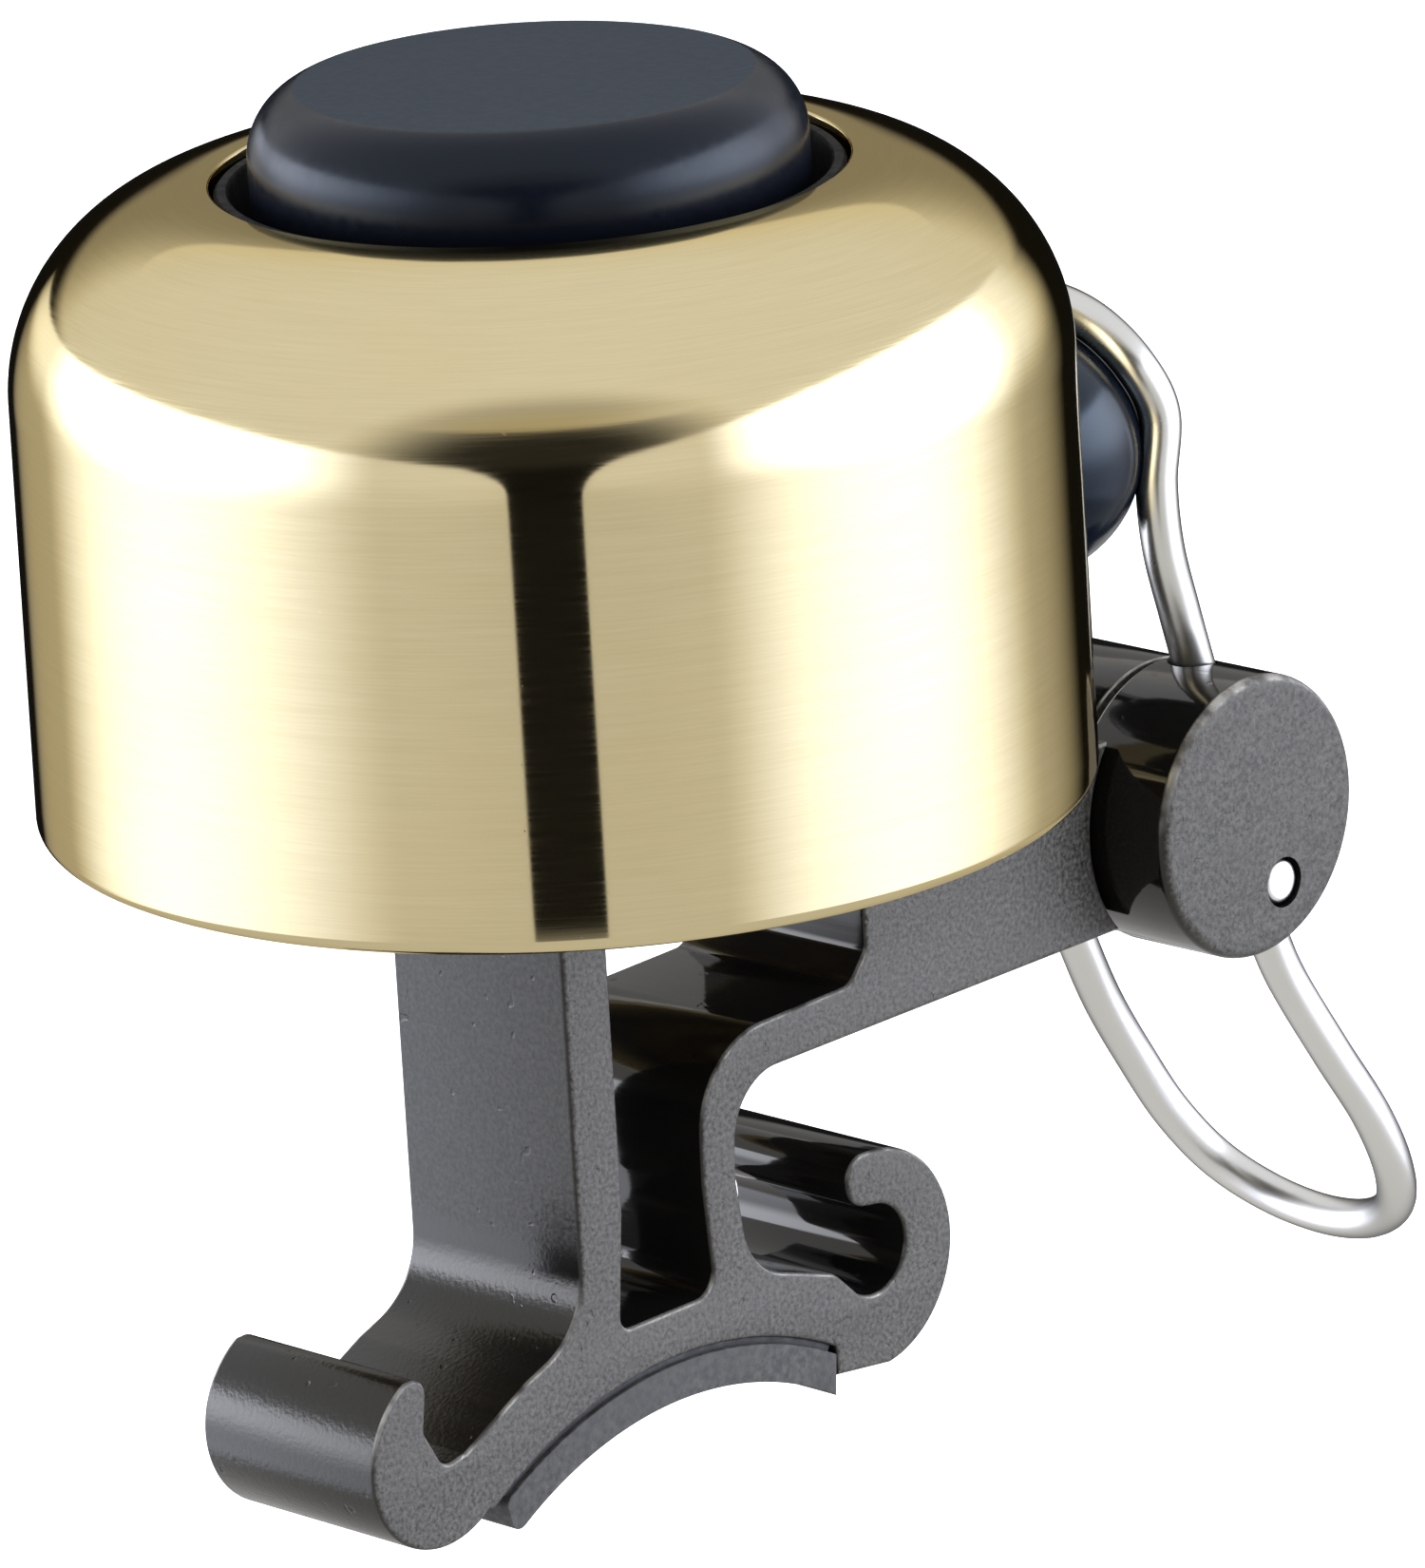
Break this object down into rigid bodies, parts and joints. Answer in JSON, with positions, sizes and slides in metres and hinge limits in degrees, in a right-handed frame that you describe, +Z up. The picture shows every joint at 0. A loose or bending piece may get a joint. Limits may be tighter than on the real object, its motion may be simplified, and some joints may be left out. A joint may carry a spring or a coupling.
{
  "type": "bicycle bell",
  "caption": "Handlebar bell with a turned brass dome, section bracket with saddle pad and band hooks, and a sprung side striker worked by a wire thumb loop",
  "frame": {"origin": "crown of the saddle pad's contact surface, mid-width of the bracket, where the top of the handlebar touches", "axes": "+Z up along the dome's axis, +X along the handlebar's axis, +Y towards the striker hubs"},
  "size_m": [0.038, 0.06, 0.055],
  "materials": {
    "dome": "brushed round the dome, clear lacquered",
    "cap_button": "blue-black lacquer, satin top",
    "cap_holder": "moulded",
    "cap_snap_ring": "plain",
    "isolator_cup": "smooth black",
    "isolator_lower": "plain",
    "steel_small": "zinc plated",
    "bracket": "black anodised aluminium, matt on the cut faces and glossy on the extruded sides",
    "bar_pad": "matt",
    "hubs": "black anodised",
    "bright_wire": "bright drawn stainless steel",
    "bronze": "sintered bronze",
    "nylon": "natural nylon",
    "hammer_ball": "blue-black gloss"
  },
  "bodies": {
    "base": {"dome": "dome", "cap_button": "cap_button", "cap_holder": "cap_holder", "cap_snap_ring": "cap_snap_ring", "isolator_cup": "isolator_cup", "isolator_lower": "isolator_lower", "centre_sleeve": "steel_small", "centre_screw": "steel_small", "head_washer": "steel_small", "flange_washer": "steel_small", "lock_washer": "steel_small", "centre_nut": "steel_small", "bracket": "bracket", "bar_pad": "bar_pad", "bearing_near": "nylon", "bearing_far": "nylon", "return_spring": "bright_wire"},
    "striker": {"hub_near": "hubs", "hub_far": "hubs", "lock_pin_near": "bright_wire", "lock_pin_far": "bright_wire", "axle": "bright_wire", "pivot_tube": "bronze", "hammer_wire": "bright_wire", "hammer_ball": "hammer_ball", "hammer_weight": "steel_small", "thumb_loop": "bright_wire"}
  },
  "joints": [
    {"name": "striker_pivot", "type": "hinge", "parent": "base", "child": "striker", "pos_m": [0, 0.0293, 0.01485], "axis": [-1, 0, 0], "range_deg": [-1.2, 16], "stiffness_Nm_per_rad": 0.03, "deforming": ["return_spring"]}
  ]
}
